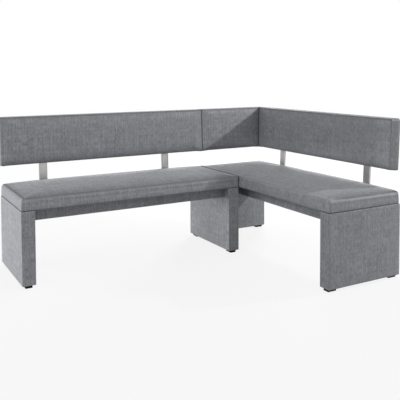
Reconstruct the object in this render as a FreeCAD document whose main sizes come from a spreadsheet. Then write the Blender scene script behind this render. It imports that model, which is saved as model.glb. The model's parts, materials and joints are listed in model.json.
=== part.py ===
"""Corner bench of two upholstered units on panel legs, with backrests on flat steel uprights.

Millimetres, +Z up. The origin lies on the floor under the middle of the whole bench. The long unit runs
along X. The short unit runs along Y, from the corner towards -Y, and carries the corner return of the back.
Each unit is drawn in its own frame: x along the seat, y from the seat's front to its back, z up.
"""
import FreeCAD, Part
import math
import os
import Sketcher

# Every size that can be set by itself, in millimetres, angles in degrees
SIZES = {
    # The two seats
    "long_length": 1385,
    "short_length": 1385,
    "seat_depth": 520,
    "seat_thickness": 74,
    "seat_crown": 10,
    "seat_roll": 15,
    "seat_roll_height": 18,
    "seat_corner_radius": 14,
    "seam_width": 4,
    "seam_depth": 2.5,
    "seat_board_thickness": 18,
    "seat_board_inset": 8,
    "fold_width": 110,
    "dust_cloth_thickness": 1,
    "cover_thickness": 3,
    "face_clearance": 0.3,
    # The panel legs and their feet
    "leg_height": 406,
    "leg_thickness": 75,
    "leg_corner_radius": 7,
    "leg_rim_radius": 2,
    "leg_skin_thickness": 6,
    "leg_rail_width": 60,
    "foot_length": 55,
    "foot_width": 38,
    "foot_height": 16,
    "foot_inset": 11,
    "foot_chamfer": 1.5,
    "foot_bore_depth": 6,
    # The aprons under the seats
    "apron_height": 71,
    "apron_thickness": 28,
    "apron_setback": 80,
    "apron_edge_radius": 2,
    # The steel uprights
    "upright_width": 50,
    "upright_thickness": 12,
    "long_upright_inset": 266,
    "short_upright_inset": 277,
    "upright_embed_depth": 200,
    "upright_spacer_length": 9.6,
    "spacer_diameter": 20,
    # The backrests
    "back_gap": 101,
    "back_height": 302,
    "back_thickness": 76,
    "back_crown": 3,
    "back_roll": 11,
    "back_corner_radius": 18,
    "back_lean": 2.5,
    "back_overhang": 11,
    "back_board_thickness": 18,
    "back_board_inset": 20,
    "back_seam_offset": 24,
    "back_seam_gap": 0.6,
    "short_back_setback": 72,
    # The steel angles under the seats and in the corner of the back
    "angle_arm_length": 40,
    "angle_width": 30,
    "angle_thickness": 3,
    "angle_inset": 170,
    "corner_arm_length": 90,
    "corner_plate_height": 160,
    "corner_plate_thickness": 4,
    "corner_plate_base": 70,
    # Screws and bolts: diameter, head diameter, head height, length under the head
    "screw_diameter": 5,
    "screw_head_diameter": 10,
    "screw_head_height": 3,
    "screw_length": 17,
    "foot_screw_length": 30,
    "bolt_diameter": 8,
    "bolt_head_diameter": 14,
    "bolt_head_height": 5,
    "bolt_length": 44,
    "back_screw_diameter": 6,
    "back_screw_head_diameter": 11,
    "back_screw_head_height": 4,
    "back_screw_length": 24,
    "bolt_margin": 18,
    "back_screw_margin": 50,
    "hole_clearance": 0.15,
    # How far a cutting shape runs past what it cuts
    "overrun": 20,
}

# Side of the seat cushion from its bottom to its top edge: shares of the thickness and of the roll
SEAT_SIDE_SHARES = ((0, 0.2), (0.05, 0.06), (0.2, 0.02), (0.42, 0), (0.62, 0.02))
# Side of a backrest from its rear face to its front edge
BACK_SIDE_SHARES = ((0, 1), (0.03, 0.45), (0.09, 0.1), (0.2, 0), (0.5, 0), (0.75, 0.06))
# Where the rounded top edge is sampled, as shares of its quarter turn
ROLL_SHARES = (0, 0.25, 0.5, 0.75, 1)
# Where the crown is sampled, as shares of its spread
CROWN_SHARES = (0.12, 0.35, 0.65, 1)
CROWN_SPREAD_SHARE = 0.72
CORNER_GROWTH_SHARE = 0.5
CORNER_LIMIT_SHARE = 0.45
BACK_END_SHARE = 0.6
APRON_ANGLE_SHARES = (1 / 3, 2 / 3)
ANGLE_SCREW_SHARE = 0.6
CORNER_SCREW_SHARE = 0.75
CORNER_SCREW_HEIGHT_SHARES = (0.2, 0.8)

X_AXIS = FreeCAD.Vector(1, 0, 0)
Y_AXIS = FreeCAD.Vector(0, 1, 0)
Z_AXIS = FreeCAD.Vector(0, 0, 1)

doc = FreeCAD.newDocument("corner_bench")
sheet = doc.addObject("Spreadsheet::Sheet", "Sizes")
for row, (alias, value) in enumerate(SIZES.items(), start=1):
    sheet.set(f"A{row}", alias.replace("_", " "))
    sheet.set(f"B{row}", str(value))
    sheet.setAlias(f"B{row}", alias)
doc.recompute()


class Size:
    """A length or a number that knows its value and its formula over the sheet's cells."""

    def __init__(self, value, formula):
        self.value = value
        self.formula = formula

    def join(self, other, sign, value):
        return Size(value, f"({self.formula} {sign} {formula_of(other)})")

    def __add__(self, other):
        return self.join(other, "+", self.value + value_of(other))

    def __sub__(self, other):
        return self.join(other, "-", self.value - value_of(other))

    def __mul__(self, other):
        return self.join(other, "*", self.value * value_of(other))

    def __truediv__(self, other):
        return self.join(other, "/", self.value / value_of(other))

    def __neg__(self):
        return Size(-self.value, f"(0 - {self.formula})")

    def __rmul__(self, other):
        return self * other

    def __radd__(self, other):
        return self + other


def value_of(size):
    return size.value if isinstance(size, Size) else size


def formula_of(size):
    return size.formula if isinstance(size, Size) else repr(size)


def cell(alias):
    return Size(float(sheet.get(alias)), f"Sizes.{alias}")


class Cells:
    """The sheet's cells by name."""

    def __getattr__(self, alias):
        return cell(alias)


s = Cells()


def cosine(angle):
    return Size(math.cos(math.radians(angle.value)), f"cos({angle.formula} * 1 deg)")


def sine(angle):
    return Size(math.sin(math.radians(angle.value)), f"sin({angle.formula} * 1 deg)")


ZERO = Size(0, "0")
LEAN_COS = cosine(s.back_lean)
LEAN_SIN = sine(s.back_lean)
SEAT_BASE = s.foot_height + s.leg_height
SEAT_TOP = SEAT_BASE + s.seat_thickness
BACK_BOTTOM = SEAT_TOP + s.back_gap
BACK_FRONT = s.seat_depth - s.back_overhang
UPRIGHT_FRONT = s.seat_depth + s.upright_spacer_length
REAR_REACH = (BACK_FRONT + s.back_roll + (s.back_thickness - s.back_roll) * LEAN_COS
              + (s.back_height - s.back_roll) * LEAN_SIN)
CENTRE_X = (REAR_REACH - s.long_length) / 2
CENTRE_Y = (REAR_REACH + s.seat_depth - s.short_length) / 2


def bind(target, prop, size):
    """Ties one property to the sheet; a plain number is set as it is."""
    if isinstance(size, Size):
        target.setExpression(prop, size.formula)
    else:
        setattr(target, prop, size)


def move(target, at):
    """Ties the place of an object to the sheet; a plain zero stays."""
    for axis, size in zip("xyz", at):
        if isinstance(size, Size):
            target.setExpression("Placement.Base." + axis, size.formula)


def turn(target, axis, angle):
    """Turns an object about an axis through its own origin."""
    target.Placement = FreeCAD.Placement(FreeCAD.Vector(), FreeCAD.Rotation(axis, value_of(angle)))
    if isinstance(angle, Size):
        target.setExpression("Placement.Rotation.Angle", angle.formula)


# Turns that point a cylinder along a direction; forth goes into a leaning back, and aft comes out of it
DIRECTIONS = {
    "+x": (Y_AXIS, 90),
    "-x": (-Y_AXIS, 90),
    "+y": (-X_AXIS, 90),
    "-y": (X_AXIS, 90),
    "+z": (X_AXIS, 0),
    "-z": (X_AXIS, 180),
    "forth": (-X_AXIS, s.back_lean + 90),
    "aft": (X_AXIS, -s.back_lean + 90),
}
OPPOSITES = {"+x": "-x", "-x": "+x", "+y": "-y", "-y": "+y", "+z": "-z", "-z": "+z",
             "forth": "aft", "aft": "forth"}


def gather(name, solids):
    group = doc.addObject("Part::Compound", name)
    group.Links = solids
    return group


def cut(name, base, tools):
    result = doc.addObject("Part::Cut", name)
    result.Base = base
    result.Tool = tools[0] if len(tools) == 1 else gather(name + "_tools", tools)
    return result


def box(name, size, at=(0, 0, 0)):
    solid = doc.addObject("Part::Box", name)
    for prop, length in zip(("Length", "Width", "Height"), size):
        bind(solid, prop, length)
    move(solid, at)
    return solid


def cylinder(name, radius, length, at, direction):
    solid = doc.addObject("Part::Cylinder", name)
    bind(solid, "Radius", radius)
    bind(solid, "Height", length)
    turn(solid, *DIRECTIONS[direction])
    move(solid, at)
    return solid


def prism(name, role, corners, length, reverse=False, symmetric=False):
    """A body padded from a closed outline; each corner is held by its two distances from the origin."""
    body = doc.addObject("PartDesign::Body", name)
    sketch = body.newObject("Sketcher::SketchObject", name + "_outline")
    plane = [feature for feature in body.Origin.OriginFeatures if feature.Role == role][0]
    sketch.AttachmentSupport = [(plane, "")]
    sketch.MapMode = "FlatFace"
    points = [FreeCAD.Vector(value_of(across), value_of(up), 0) for across, up in corners]
    for start, end in zip(points, points[1:] + points[:1]):
        sketch.addGeometry(Part.LineSegment(start, end))
    for index in range(len(corners)):
        following = (index + 1) % len(corners)
        sketch.addConstraint(Sketcher.Constraint("Coincident", index, 2, following, 1))
    for index, corner in enumerate(corners):
        for kind, size, axis in zip(("DistanceX", "DistanceY"), corner, (-2, -1)):
            if isinstance(size, Size):
                held = Sketcher.Constraint(kind, -1, 1, index, 1, size.value)
                number = sketch.addConstraint(held)
                sketch.setExpression(f"Constraints[{number}]", size.formula)
            else:
                sketch.addConstraint(Sketcher.Constraint("PointOnObject", index, 1, axis))
    pad = body.newObject("PartDesign::Pad", name + "_pad")
    pad.Profile = sketch
    pad.Reversed = reverse
    pad.SideType = "Symmetric" if symmetric else "One side"
    bind(pad, "Length", length)
    return body


def plate(name, size, at=(0, 0, 0)):
    """A body padded upwards from a rectangle."""
    across, along, height = size
    corners = ((0, 0), (across, 0), (across, along), (0, along))
    body = prism(name, "XY_Plane", corners, height)
    move(body, at)
    return body


def dress(body, kind, size, wanted):
    """A fillet or a chamfer on those edges of the body whose end points pass the test."""
    base = body.Tip
    doc.recompute([base], True)
    names = [f"Edge{number}" for number, edge in enumerate(base.Shape.Edges, start=1)
             if wanted(*[vertex.Point for vertex in edge.Vertexes])]
    feature = body.newObject("PartDesign::" + kind, body.Name + "_" + kind.lower())
    feature.Base = (base, names)
    bind(feature, "Radius" if kind == "Fillet" else "Size", size)


def is_upright(start, end):
    return math.isclose(start.x, end.x) and math.isclose(start.y, end.y)


def is_low(*points):
    return all(math.isclose(point.z, 0, abs_tol=Part.Precision.confusion()) for point in points)


NODES = []


class Unit:
    """A frame of its own: where its origin lies in the bench, and whether it is turned to run along -Y."""

    def __init__(self, name, x, y, turned=False):
        self.name = name
        self.origin = (x - CENTRE_X, y - CENTRE_Y)
        self.turned = turned

    def settle(self, item):
        turn(item, Z_AXIS, -90 if self.turned else 0)
        move(item, self.origin)
        return item

    def group(self, name, solids):
        return self.settle(gather(name, solids))

    def node(self, name, base, tools=()):
        """One named piece of the bench."""
        item = cut(name, base, list(tools)) if tools else gather(name, base)
        NODES.append(self.settle(item))
        return item


# Screws and bolts: diameter, head diameter, head height, length under the head
FASTENERS = {
    "screw": (s.screw_diameter, s.screw_head_diameter, s.screw_head_height, s.screw_length),
    "foot_screw": (s.screw_diameter, s.screw_head_diameter, s.screw_head_height, s.foot_screw_length),
    "bolt": (s.bolt_diameter, s.bolt_head_diameter, s.bolt_head_height, s.bolt_length),
    "back_screw": (s.back_screw_diameter, s.back_screw_head_diameter, s.back_screw_head_height,
                   s.back_screw_length),
}


def fastener(name, kind, at, direction):
    """A screw whose head sits on the point at, with its shank in the given direction."""
    diameter, head_diameter, head_height, length = FASTENERS[kind]
    screw = doc.addObject("Part::Fuse", name)
    screw.Base = cylinder(name + "_shank", diameter / 2, length, at, direction)
    screw.Tool = cylinder(name + "_head", head_diameter / 2, head_height, at, OPPOSITES[direction])
    return screw


def hole(name, kind, at, direction):
    """The hole that clears a screw's shank."""
    diameter, head_diameter, head_height, length = FASTENERS[kind]
    return cylinder(name, diameter / 2 + s.hole_clearance, length + s.hole_clearance, at, direction)


def head_hole(name, kind, at, direction):
    """The wider hole that clears a sunk head."""
    head_diameter = FASTENERS[kind][1]
    return cylinder(name, head_diameter / 2 + s.hole_clearance, s.overrun, at, OPPOSITES[direction])


def rounded_outline(x0, x1, y0, y1, radius, z):
    """A closed wire of four lines and four quarter arcs."""
    centres = ((x1 - radius, y0 + radius, -90), (x1 - radius, y1 - radius, 0),
               (x0 + radius, y1 - radius, 90), (x0 + radius, y0 + radius, 180))
    arcs = [Part.makeCircle(radius, FreeCAD.Vector(x, y, z), Z_AXIS, start, start + 90)
            for x, y, start in centres]
    edges = []
    for arc, following in zip(arcs, arcs[1:] + arcs[:1]):
        edges.append(arc)
        edges.append(Part.LineSegment(arc.Vertexes[-1].Point, following.Vertexes[0].Point).toShape())
    return Part.Wire(edges)


def cushion_shape(x0, x1, y0, y1, profile, radius, end_share, shrink):
    """A closed cushion lofted through rounded rectangles, one for each height and inset of its profile.

    Shrink draws every face inwards, for a lining or a filling that fits inside.
    """
    total = profile[-1][0]
    wires = []
    for height, inset in profile:
        side = inset + shrink
        end = inset * end_share + shrink
        limit = CORNER_LIMIT_SHARE * min(x1 - x0 - 2 * end, y1 - y0 - 2 * side)
        corner = min(radius + inset * CORNER_GROWTH_SHARE - shrink, limit)
        level = shrink + height * (total - 2 * shrink) / total
        wires.append(rounded_outline(x0 + end, x1 - end, y0 + side, y1 - side, corner, level))
    return Part.makeLoft(wires, True, True)


def edge_roll(edge_height, roll_height, roll, start):
    """Heights and insets of the quarter turn that rounds a cushion's top edge."""
    turns = [math.pi / 2 * share for share in ROLL_SHARES]
    return [(edge_height - roll_height * (1 - math.sin(angle)),
             start + (roll - start) * (1 - math.cos(angle))) for angle in turns]


def crown(edge_height, rise, start, half_width):
    """Heights and insets of the gentle dome inside a cushion's edge."""
    spread = CROWN_SPREAD_SHARE * (half_width - start)
    return [(edge_height + rise * (1 - (1 - share) ** 2), start + spread * share) for share in CROWN_SHARES]


def seat_profile(sewn):
    """The boxing, the rolled edge, the sewn seam just inside it and the crown of a seat.

    Below the fabric there is no seam, only a step that clears the seam's valley.
    """
    thickness = s.seat_thickness.value
    roll = s.seat_roll.value
    shoulder = thickness - s.seam_depth.value
    valley = shoulder - s.seam_depth.value
    start = SEAT_SIDE_SHARES[-1][1] * roll
    side = [(height * thickness, inset * roll) for height, inset in SEAT_SIDE_SHARES]
    rolled = edge_roll(shoulder if sewn else valley, s.seat_roll_height.value, roll, start)
    seam = [(valley, roll + s.seam_width.value / 2)] if sewn else []
    inner = roll + s.seam_width.value
    top = crown(thickness, s.seat_crown.value, inner + s.seam_width.value, s.seat_depth.value / 2)
    return side + rolled + seam + [(shoulder, inner)] + top


def back_profile():
    """The rear face, the sides, the rolled edge and the crown of a backrest, from rear to front."""
    edge = s.back_thickness.value - s.back_crown.value
    roll = s.back_roll.value
    start = BACK_SIDE_SHARES[-1][1] * roll
    side = [(height * edge, inset * roll) for height, inset in BACK_SIDE_SHARES]
    rolled = edge_roll(edge, roll, roll, start)
    front = crown(edge, s.back_crown.value, roll, s.back_height.value / 2)
    return side + rolled + front


def soft(name, shape, placement):
    """A shape made from the sheet's values, in its unit's frame."""
    item = doc.addObject("Part::Feature", name)
    item.Shape = shape
    item.Placement = placement
    return item


def seat_cushion(name, length, shrink=0):
    clear = s.face_clearance.value
    shape = cushion_shape(clear, length.value - clear, clear, s.seat_depth.value - clear,
                          seat_profile(shrink == 0), s.seat_corner_radius.value, 1, value_of(shrink))
    return soft(name, shape, FreeCAD.Placement(FreeCAD.Vector(0, 0, SEAT_BASE.value), FreeCAD.Rotation()))


LEANING = FreeCAD.Rotation(-X_AXIS, s.back_lean.value)


def back_cushion(name, x0, x1, shrink=0):
    """A backrest cushion, stacked from its rear face forwards and then stood up and leant back."""
    shape = cushion_shape(value_of(x0), value_of(x1), 0, s.back_height.value, back_profile(),
                          s.back_corner_radius.value, BACK_END_SHARE, value_of(shrink))
    stood = FreeCAD.Placement(FreeCAD.Vector(0, s.back_thickness.value, 0), FreeCAD.Rotation(X_AXIS, 90))
    leant = FreeCAD.Placement(FreeCAD.Vector(0, BACK_FRONT.value, BACK_BOTTOM.value), LEANING)
    return soft(name, shape, leant * stood)


def back_point(depth, height):
    """Where a point of the leaning back lies, from its depth behind the front face and its height."""
    return (BACK_FRONT + LEAN_COS * depth + LEAN_SIN * height,
            BACK_BOTTOM + LEAN_COS * height - LEAN_SIN * depth)


def back_box(name, x0, x1, depth0, depth1, height0, height1):
    """A box in the leaning back, from its limits along, behind the front face and up the slope."""
    solid = box(name, (x1 - x0, depth1 - depth0, height1 - height0))
    turn(solid, -X_AXIS, s.back_lean)
    move(solid, (x0, *back_point(depth0, height0)))
    return solid


# Depths behind the front face of a back at which the steel bar and the board lie
BAR_DEPTH = (UPRIGHT_FRONT - BACK_FRONT) * LEAN_COS + s.back_gap * LEAN_SIN
BOARD_DEPTH = BAR_DEPTH + s.upright_thickness
BOARD_REAR = BOARD_DEPTH + s.back_board_thickness


def make_seat(unit, length, screw_holes):
    name = unit.name
    cover = s.cover_thickness
    fold = s.fold_width
    opening = box(name + "_fold_opening", (length - fold * 2, s.seat_depth - fold * 2, cover * 2),
                  (fold, fold, SEAT_BASE - cover))
    unit.node(name + "_seat_cover", seat_cushion(name + "_seat_outside", length),
              [seat_cushion(name + "_seat_lining", length, cover), opening, *screw_holes])
    filling = seat_cushion(name + "_seat_filling", length, cover + s.face_clearance)
    board_room = box(name + "_board_room", (length, s.seat_depth, s.seat_board_thickness + cover),
                     (0, 0, SEAT_BASE))
    unit.node(name + "_seat_foam", filling, [board_room])
    inset = s.seat_board_inset
    board = plate(name + "_seat_panel", (length - inset * 2, s.seat_depth - inset * 2,
                                         s.seat_board_thickness), (inset, inset, SEAT_BASE + cover))
    dress(board, "Fillet", s.seat_corner_radius, is_upright)
    unit.node(name + "_seat_board", board, screw_holes)
    rim = fold + s.face_clearance
    cloth = box(name + "_cloth", (length - rim * 2, s.seat_depth - rim * 2, s.dust_cloth_thickness),
                (rim, rim, SEAT_BASE + cover - s.dust_cloth_thickness))
    unit.node(name + "_dust_cloth", cloth, screw_holes)


def make_leg(unit, side, x, screw_holes, foot_holes):
    """A panel leg: a fabric sleeve round a timber frame. Returns its two skins, which share one node."""
    name = f"{unit.name}_{side}_leg"
    cover = s.cover_thickness
    skin = s.leg_skin_thickness
    outside = plate(name + "_outside", (s.leg_thickness, s.seat_depth, s.leg_height), (x, 0, s.foot_height))
    dress(outside, "Fillet", s.leg_corner_radius, is_upright)
    top = s.leg_height.value
    dress(outside, "Fillet", s.leg_rim_radius,
          lambda *points: is_low(*points) or all(math.isclose(point.z, top) for point in points))
    inside = box(name + "_inside", (s.leg_thickness - cover * 2, s.seat_depth - cover * 2,
                                    s.leg_height + s.overrun * 2),
                 (x + cover, cover, s.foot_height - s.overrun))
    unit.node(name + "_cover", outside, [inside, *screw_holes])
    depth = s.seat_depth - cover * 2
    core = s.leg_thickness - cover * 2 - skin * 2
    frame = plate(name + "_frame_panel", (core, depth, s.leg_height),
                  (x + cover + skin, cover, s.foot_height))
    rail = s.leg_rail_width
    window = box(name + "_window", (core, depth - rail * 2, s.leg_height - rail * 2),
                 (x + cover + skin, cover + rail, s.foot_height + rail))
    unit.node(name + "_frame", frame, [window, *screw_holes, *foot_holes])
    skins = [box(f"{name}_skin_{number}", (skin, depth, s.leg_height), (place, cover, s.foot_height))
             for number, place in enumerate((x + cover, x + cover + skin + core))]
    return [cut(name + "_skins", gather(name + "_skin_pair", skins), screw_holes)]


def make_foot(name, x, y):
    """A plastic foot under a leg's end, and its screw. Returns the foot, the screw and the screw's hole."""
    foot = plate(name, (s.foot_width, s.foot_length, s.foot_height),
                 (x - s.foot_width / 2, y - s.foot_length / 2, 0))
    dress(foot, "Chamfer", s.foot_chamfer, is_low)
    seat = (x, y, s.foot_bore_depth)
    screw = fastener(name + "_screw", "foot_screw", seat, "+z")
    shank_hole = hole(name + "_hole", "foot_screw", seat, "+z")
    sunk = head_hole(name + "_head_hole", "foot_screw", seat, "+z")
    return cut(name + "_bored", foot, [shank_hole, sunk]), screw, shank_hole


def make_apron(unit, side, length, y, screw_holes):
    name = f"{unit.name}_{side}_apron"
    cover = s.cover_thickness
    run = length - s.leg_thickness * 2
    base = SEAT_BASE - s.apron_height
    outside = plate(name + "_outside", (run, s.apron_thickness, s.apron_height),
                    (s.leg_thickness, y, base))
    run_value = run.value
    dress(outside, "Fillet", s.apron_edge_radius,
          lambda start, end: is_low(start, end) and math.isclose(abs(end.x - start.x), run_value))
    inner = s.apron_thickness - cover * 2
    inside = box(name + "_inside", (run, inner, s.apron_height),
                 (s.leg_thickness, y + cover, base + cover))
    unit.node(name + "_cover", outside, [inside, *screw_holes])
    board = box(name + "_panel", (run, inner, s.apron_height - cover),
                (s.leg_thickness, y + cover, base + cover))
    unit.node(name + "_board", board, screw_holes)


# Which way an angle faces: its normal, the turn of its body and the direction of its wall screw
FACINGS = {
    "+x": (1, 0, 0, "-x"),
    "+y": (0, 1, 90, "-y"),
    "-x": (-1, 0, 180, "+x"),
    "-y": (0, -1, -90, "+y"),
}


def angle_points(facing, x, y):
    """Where the wall screw and the seat screw of an angle sit, and which way the wall screw goes."""
    normal_x, normal_y, _, inwards = FACINGS[facing]
    reach = s.angle_arm_length * ANGLE_SCREW_SHARE
    gauge = s.angle_thickness
    wall = (x + gauge * normal_x, y + gauge * normal_y, SEAT_BASE - reach)
    roof = (x + reach * normal_x, y + reach * normal_y, SEAT_BASE - gauge)
    return wall, roof, inwards


def make_angle(name, facing, x, y):
    """A steel angle under a seat, flat against a wall through x and y that faces the given way."""
    normal_x, normal_y, angle, _ = FACINGS[facing]
    arm = s.angle_arm_length
    gauge = s.angle_thickness
    corners = ((0, 0), (gauge, 0), (gauge, arm - gauge), (arm, arm - gauge), (arm, arm), (0, arm))
    body = prism(name, "XZ_Plane", corners, s.angle_width, reverse=True)
    turn(body, Z_AXIS, angle)
    half = s.angle_width / 2
    move(body, (x + half * normal_y, y - half * normal_x, SEAT_BASE - arm))
    wall, roof, inwards = angle_points(facing, x, y)
    wall_hole = hole(name + "_wall_hole", "screw", wall, inwards)
    seat_hole = hole(name + "_seat_hole", "screw", roof, "+z")
    screws = [fastener(name + "_wall_screw", "screw", wall, inwards),
              fastener(name + "_seat_screw", "screw", roof, "+z")]
    return {"angles": [cut(name + "_bored", body, [wall_hole, seat_hole])], "screws": screws,
            "wall_holes": [wall_hole], "seat_holes": [seat_hole]}


def pool(groups):
    """Joins dictionaries of lists key by key."""
    return {key: [item for group in groups for item in group[key]] for key in groups[0]}


def make_upright(unit, side, x):
    """A flat bar, bolted behind the rear apron and bent back at the seat's top to follow the backrest.

    Returns its spacers, bolts, back screws and the holes that they need.
    """
    name = f"{unit.name}_{side}_upright"
    base = SEAT_BASE - s.apron_height
    bend = SEAT_TOP - base
    slope = s.upright_embed_depth + s.back_gap * LEAN_COS - (UPRIGHT_FRONT - BACK_FRONT) * LEAN_SIN
    thick = s.upright_thickness
    half_turn = s.back_lean / 2
    top_y = slope * LEAN_SIN
    top_z = bend + slope * LEAN_COS
    corners = ((0, 0), (thick, 0), (thick, bend - thick * sine(half_turn) / cosine(half_turn)),
               (top_y + thick * LEAN_COS, top_z - thick * LEAN_SIN), (top_y, top_z), (0, bend))
    bar = prism(name + "_bar", "YZ_Plane", corners, s.upright_width, symmetric=True)
    move(bar, (x, UPRIGHT_FRONT, base))
    spacers = []
    bolts = []
    bolt_holes = []
    for level, z in (("low", base + s.bolt_margin), ("high", SEAT_BASE - s.bolt_margin)):
        at = (x, UPRIGHT_FRONT + thick, z)
        label = f"{name}_{level}"
        bolts.append(fastener(label + "_bolt", "bolt", at, "-y"))
        bolt_holes.append(hole(label + "_bolt_hole", "bolt", at, "-y"))
        tube = cylinder(label + "_tube", s.spacer_diameter / 2, s.upright_spacer_length,
                        (x, s.seat_depth, z), "+y")
        spacers.append(cut(label + "_spacer", tube, [bolt_holes[-1]]))
    back_screws = []
    back_holes = []
    head_holes = []
    heights = {"low": s.back_screw_margin, "high": s.upright_embed_depth - s.back_screw_margin}
    for level, height in heights.items():
        at = (x, *back_point(BAR_DEPTH + s.back_screw_head_height, height))
        label = f"{name}_{level}_back"
        back_screws.append(fastener(label + "_screw", "back_screw", at, "forth"))
        back_holes.append(hole(label + "_hole", "back_screw", at, "forth"))
        head_holes.append(head_hole(label + "_head_hole", "back_screw", at, "forth"))
    unit.node(name, bar, bolt_holes + back_holes + head_holes)
    half = s.upright_width / 2 + s.face_clearance
    channel = back_box(name + "_channel", x - half, x + half, BAR_DEPTH - s.face_clearance, BOARD_DEPTH,
                       -s.overrun, s.upright_embed_depth + s.face_clearance)
    return {"spacers": spacers, "bolts": bolts, "bolt_holes": bolt_holes, "back_screws": back_screws,
            "back_holes": back_holes, "channel": [channel]}


def make_back(unit, x0, x1, board_x0, board_x1, channels, screw_holes, mitre, recess):
    """A backrest: cover, front foam, board and rear foam, cut at the mitre where it has one."""
    name = unit.name
    cover = s.cover_thickness
    beyond = s.overrun
    unit.node(name + "_back_cover", back_cushion(name + "_back_outside", x0, x1),
              [back_cushion(name + "_back_lining", x0, x1, cover), *channels, *mitre])
    filling = back_cushion(name + "_back_filling", x0, x1, cover + s.face_clearance)
    inset = s.back_board_inset
    panel = back_box(name + "_back_panel", board_x0, board_x1, BOARD_DEPTH, BOARD_REAR, inset,
                     s.back_height - inset)
    low, high = -beyond, s.back_height + beyond
    rear_room = back_box(name + "_rear_room", x0 - beyond, x1 + beyond, BOARD_REAR,
                         s.back_thickness + beyond, low, high)
    front_room = back_box(name + "_front_room", x0 - beyond, x1 + beyond, -beyond, BOARD_REAR, low, high)
    unit.node(name + "_back_front_foam", filling, [rear_room, panel, *channels, *mitre])
    unit.node(name + "_back_board", panel, [*screw_holes, *mitre])
    unit.node(name + "_back_rear_foam", filling, [front_room, *mitre, *recess])


def make_seat_unit(unit, length, upright_inset, more_wall_holes, more_seat_holes):
    """A whole bench unit without its backrest. Returns what its backrest and the shared nodes need."""
    name = unit.name
    far = length - s.leg_thickness
    across = (s.angle_inset, s.seat_depth - s.angle_inset)
    rear_apron = s.seat_depth - s.apron_thickness
    along = [length * share for share in APRON_ANGLE_SHARES]
    left = pool([make_angle(f"{name}_left_angle_{number}", "+x", s.leg_thickness, y)
                 for number, y in enumerate(across)])
    right = pool([make_angle(f"{name}_right_angle_{number}", "-x", far, y)
                  for number, y in enumerate(across)])
    front = pool([make_angle(f"{name}_front_angle_{number}", "+y", x, s.apron_setback + s.apron_thickness)
                  for number, x in enumerate(along)])
    rear = pool([make_angle(f"{name}_rear_angle_{number}", "-y", x, rear_apron)
                 for number, x in enumerate(along)])
    angles = pool([left, right, front, rear])
    uprights = pool([make_upright(unit, "left", upright_inset),
                     make_upright(unit, "right", length - upright_inset)])

    make_seat(unit, length, angles["seat_holes"] + more_seat_holes)
    make_apron(unit, "front", length, s.apron_setback, front["wall_holes"])
    make_apron(unit, "rear", length, rear_apron, rear["wall_holes"] + uprights["bolt_holes"])

    feet = []
    screws = []
    skins = []
    end = s.foot_inset + s.foot_length / 2
    for side, x, holes in (("left", ZERO, left["wall_holes"]),
                           ("right", far, right["wall_holes"] + more_wall_holes)):
        foot_holes = []
        for place, y in (("front", end), ("rear", s.seat_depth - end)):
            foot, screw, foot_hole = make_foot(f"{name}_{side}_{place}_foot", x + s.leg_thickness / 2, y)
            feet.append(foot)
            screws.append(screw)
            foot_holes.append(foot_hole)
        skins += make_leg(unit, side, x, holes, foot_holes)

    unit.node(name + "_leg_skins", skins)
    unit.node(name + "_feet", feet)
    unit.node(name + "_angle_brackets", angles["angles"])
    unit.node(name + "_bracket_screws", angles["screws"])
    unit.node(name + "_upright_bolts", uprights["bolts"])
    unit.node(name + "_back_screws", uprights["back_screws"])
    foot_screws = unit.group(name + "_foot_screws", screws)
    spacers = unit.group(name + "_spacers", uprights["spacers"])
    return uprights, foot_screws, spacers


def mitre_tool(name, x, y, angle):
    """A block whose near face lies in the mitre plane of the corner, seen from one unit's frame."""
    size = (REAR_REACH - BACK_FRONT + s.overrun * 3) * 2
    tool = box(name, (size, size, s.back_gap + s.back_height + s.overrun))
    turn(tool, Z_AXIS, angle)
    move(tool, (x, y, SEAT_TOP))
    return tool


def make_corner_arm(unit, x0, x1, screw_x, mitre):
    """One arm of the steel plate that holds the two boards of the corner together, behind them.

    Returns the arm, its screws, their holes and the room that the rear foam leaves.
    """
    name = unit.name + "_corner_arm"
    gauge = s.corner_plate_thickness
    low = s.corner_plate_base
    high = low + s.corner_plate_height
    arm = back_box(name, x0, x1, BOARD_REAR, BOARD_REAR + gauge, low, high)
    screws = []
    holes = []
    for number, share in enumerate(CORNER_SCREW_HEIGHT_SHARES):
        at = (screw_x, *back_point(BOARD_REAR + gauge, low + s.corner_plate_height * share))
        screws.append(fastener(f"{name}_screw_{number}", "screw", at, "aft"))
        holes.append(hole(f"{name}_hole_{number}", "screw", at, "aft"))
    clear = s.face_clearance
    room = back_box(name + "_room", x0 - clear, x1 + clear, BOARD_REAR,
                    BOARD_REAR + gauge + s.screw_head_height + clear, low - clear, high + clear)
    placed = unit.settle(cut(name + "_mitred", arm, [*holes, *mitre]))
    return placed, unit.group(name + "_screws", screws), holes, [room]


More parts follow.
